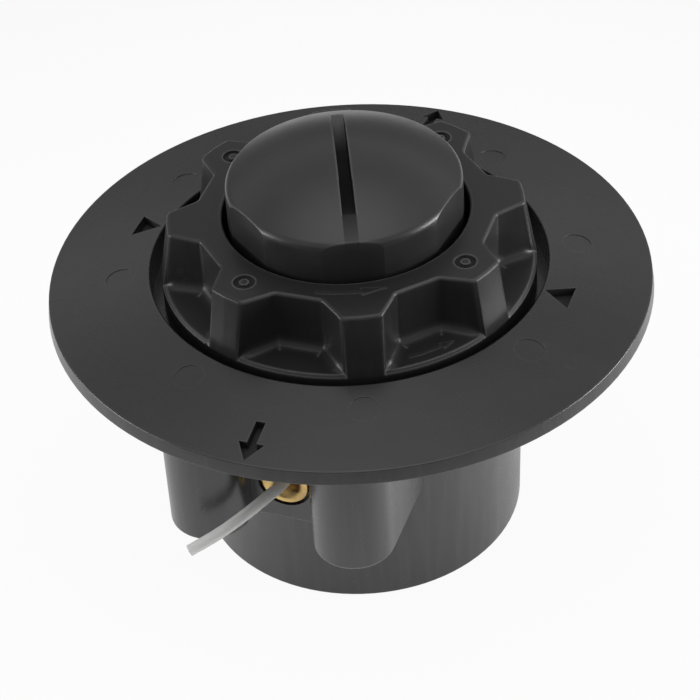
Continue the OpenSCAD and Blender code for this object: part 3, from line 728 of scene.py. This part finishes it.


# Floor, light and background. Seen straight, the floor is white with a faint share of its shadow.
# In reflections it is a white table that ends in the dark, farther off behind the object, and it is dimmer
# towards the front, with a painted shadow close around the foot.

stage = {
    "size": 4, "roughness": 0.9, "nearColour": (0.95, 0.95, 0.95, 1), "farColour": (0.12, 0.12, 0.12, 1),
    "shadowShare": 0.06, "tableEdge": (0.12, 0.24, 1, 0), "behind": 0.7, "beside": 0.15,
    "front": (0.362, -0.932, 0), "frontDim": (0.4, 0.95, 1, 0.64), "paintedContactShadow": (0.037, 0.056, 0.72, 1),
    # Brightness of the surroundings by height above the horizon, as the sine of the angle
    "surroundings": ((0, 0.16), (0.12, 0.16), (0.35, 0.22), (0.53, 0.68), (0.59, 0.55), (0.67, 0.22),
                     (0.85, 0.44), (0.93, 0.9), (1, 1.3)),
}


def makeFloor():
    bm = bmesh.new()
    bmesh.ops.create_grid(bm, x_segments=1, y_segments=1, size=stage["size"])
    floor = addObject("floor", meshFrom(bm, "floor"))
    material, tree, shader = newMaterial("floor", {"Roughness": stage["roughness"]})
    place = objectPlace(tree)
    away = vectorMath(tree, "LENGTH", place)["Value"]
    near = spread(tree, away, *stage["tableEdge"])
    tree.links.new(blendColours(tree, near, stage["farColour"], stage["nearColour"]),
                   shader.inputs["Base Color"])
    forward = vectorMath(tree, "DOT_PRODUCT", place, stage["front"])["Value"]
    # In reflections only: dimmer towards the front, and a painted shadow close around the foot
    dim = calculate(tree, "MULTIPLY",
                    spread(tree, calculate(tree, "DIVIDE", forward, away), *stage["frontDim"]),
                    spread(tree, away, *stage["paintedContactShadow"]))
    beyond = calculate(tree, "SUBTRACT", forward, calculate(tree, "MULTIPLY", away, stage["beside"]))
    closer = calculate(tree, "MULTIPLY", calculate(tree, "MINIMUM", beyond, 0), stage["behind"])
    table = spread(tree, calculate(tree, "ADD", away, closer), *stage["tableEdge"])
    seen = addNode(tree, "LightPath").outputs
    reflected = calculate(tree, "MULTIPLY", seen["Is Glossy Ray"], table, dim)
    brightest = calculate(tree, "MAXIMUM", seen["Is Camera Ray"], seen["Is Transmission Ray"], reflected)
    share = calculate(tree, "MULTIPLY", brightest, 1 - stage["shadowShare"])
    white = addNode(tree, "Emission", {"Strength": 1})
    both = addNode(tree, "MixShader", {0: share, 1: shader.outputs["BSDF"], 2: white.outputs["Emission"]})
    output = next(node for node in tree.nodes if node.type == "OUTPUT_MATERIAL")
    tree.links.new(both.outputs["Shader"], output.inputs["Surface"])
    floor.data.materials.append(material)


def makeSurroundings():
    world = bpy.data.worlds.new("surroundings")
    world.use_nodes = True
    tree = world.node_tree
    tree.nodes.clear()
    height = parted(tree, addNode(tree, "TexCoord").outputs["Generated"])[2]
    ramp = addNode(tree, "ValToRGB", {"Fac": height})
    stops = ramp.color_ramp.elements
    while len(stops) < len(stage["surroundings"]):
        stops.new(0.5)
    top = max(value for _, value in stage["surroundings"])
    for stop, (at, value) in zip(stops, stage["surroundings"]):
        stop.position = at
        stop.color = (value / top, value / top, value / top, 1)
    seen = addNode(tree, "LightPath").outputs["Is Camera Ray"]
    lit = addNode(tree, "Background", {"Color": ramp.outputs["Color"], "Strength": top})
    white = addNode(tree, "Background", {"Color": (1, 1, 1, 1), "Strength": 1})
    both = addNode(tree, "MixShader", {
        0: seen, 1: lit.outputs["Background"], 2: white.outputs["Background"]})
    addNode(tree, "OutputWorld", {"Surface": both.outputs["Shader"]})
    bpy.context.scene.world = world


# Soft boxes: where each stands, what it looks at, its size in metres and its power in watts
lamps = {
    "leftBox": {"place": (-1.04, -0.42, 0.22), "aim": (0, 0, 0.06), "size": (0.7, 0.3), "power": 5},
    "rightBox": {"place": (1.04, 0.36, 0.22), "aim": (0, 0, 0.06), "size": (0.7, 0.3), "power": 8},
}


def makeLamps():
    for name, lamp in lamps.items():
        data = bpy.data.lights.new(name, "AREA")
        data.shape = "RECTANGLE"
        data.size, data.size_y = lamp["size"]
        data.energy = lamp["power"]
        piece = addObject(name, data)
        towards = Vector(lamp["aim"]) - Vector(lamp["place"])
        turn = towards.to_track_quat("-Z", "Y").to_matrix().to_4x4()
        piece.matrix_world = Matrix.Translation(lamp["place"]) @ turn


makeFloor()
makeSurroundings()
makeLamps()
bpy.context.scene.view_settings.view_transform = "Standard"
print("stage set")
